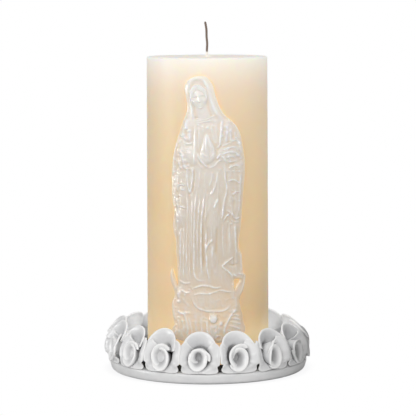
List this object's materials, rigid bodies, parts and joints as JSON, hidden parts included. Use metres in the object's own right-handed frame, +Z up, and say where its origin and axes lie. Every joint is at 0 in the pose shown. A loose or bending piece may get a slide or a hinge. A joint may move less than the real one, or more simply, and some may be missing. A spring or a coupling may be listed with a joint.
{
  "type": "unity candle",
  "caption": "Ivory wax pillar candle with a pearl-finished relief of a veiled praying figure, standing in a round white ceramic dish edged with open roses.",
  "frame": {"origin": "centre of the dish's flat underside", "axes": "+Z up along the candle's axis; the relief figure faces -Y"},
  "size_m": [0.1516, 0.1516, 0.2571],
  "materials": {
    "ivory_wax": "soft satin wax, slightly translucent",
    "pearl_wax": "pearlescent cast wax, translucent, glossy on the folds",
    "white_glaze": "white satin glaze over hand-formed ceramic",
    "wick_cotton": "braided cotton, waxed at its foot",
    "tinned_steel": "bright tinned steel"
  },
  "bodies": {
    "dish": {"dish_tray": "white_glaze", "rose_01_bud": "white_glaze", "rose_01_wrap_petal": "white_glaze", "rose_01_back_petal": "white_glaze", "rose_02_bud": "white_glaze", "rose_02_wrap_petal": "white_glaze", "rose_02_back_petal": "white_glaze", "rose_03_bud": "white_glaze", "rose_03_wrap_petal": "white_glaze", "rose_03_back_petal": "white_glaze", "rose_04_bud": "white_glaze", "rose_04_wrap_petal": "white_glaze", "rose_04_back_petal": "white_glaze", "rose_05_bud": "white_glaze", "rose_05_wrap_petal": "white_glaze", "rose_05_back_petal": "white_glaze", "rose_06_bud": "white_glaze", "rose_06_wrap_petal": "white_glaze", "rose_06_back_petal": "white_glaze", "rose_07_bud": "white_glaze", "rose_07_wrap_petal": "white_glaze", "rose_07_back_petal": "white_glaze", "rose_08_bud": "white_glaze", "rose_08_wrap_petal": "white_glaze", "rose_08_back_petal": "white_glaze", "rose_09_bud": "white_glaze", "rose_09_wrap_petal": "white_glaze", "rose_09_back_petal": "white_glaze", "rose_10_bud": "white_glaze", "rose_10_wrap_petal": "white_glaze", "rose_10_back_petal": "white_glaze", "rose_11_bud": "white_glaze", "rose_11_wrap_petal": "white_glaze", "rose_11_back_petal": "white_glaze", "rose_12_bud": "white_glaze", "rose_12_wrap_petal": "white_glaze", "rose_12_back_petal": "white_glaze", "rose_13_bud": "white_glaze", "rose_13_wrap_petal": "white_glaze", "rose_13_back_petal": "white_glaze", "rose_14_bud": "white_glaze", "rose_14_wrap_petal": "white_glaze", "rose_14_back_petal": "white_glaze", "rose_15_bud": "white_glaze", "rose_15_wrap_petal": "white_glaze", "rose_15_back_petal": "white_glaze", "rose_16_bud": "white_glaze", "rose_16_wrap_petal": "white_glaze", "rose_16_back_petal": "white_glaze"},
    "wick_core": {"wick": "wick_cotton", "wick_tab": "tinned_steel"},
    "candle": {"candle_pillar": "ivory_wax", "figure_relief": "pearl_wax"}
  },
  "joints": [
    {"name": "candle_lift", "type": "slide", "parent": "dish", "child": "wick_core", "axis": [0, 0, 1], "range_m": [0, 0.06]},
    {"name": "candle_turn", "type": "hinge", "parent": "wick_core", "child": "candle", "pos_m": [0, 0, 0.1], "axis": [0, 0, 1], "continuous": true}
  ]
}
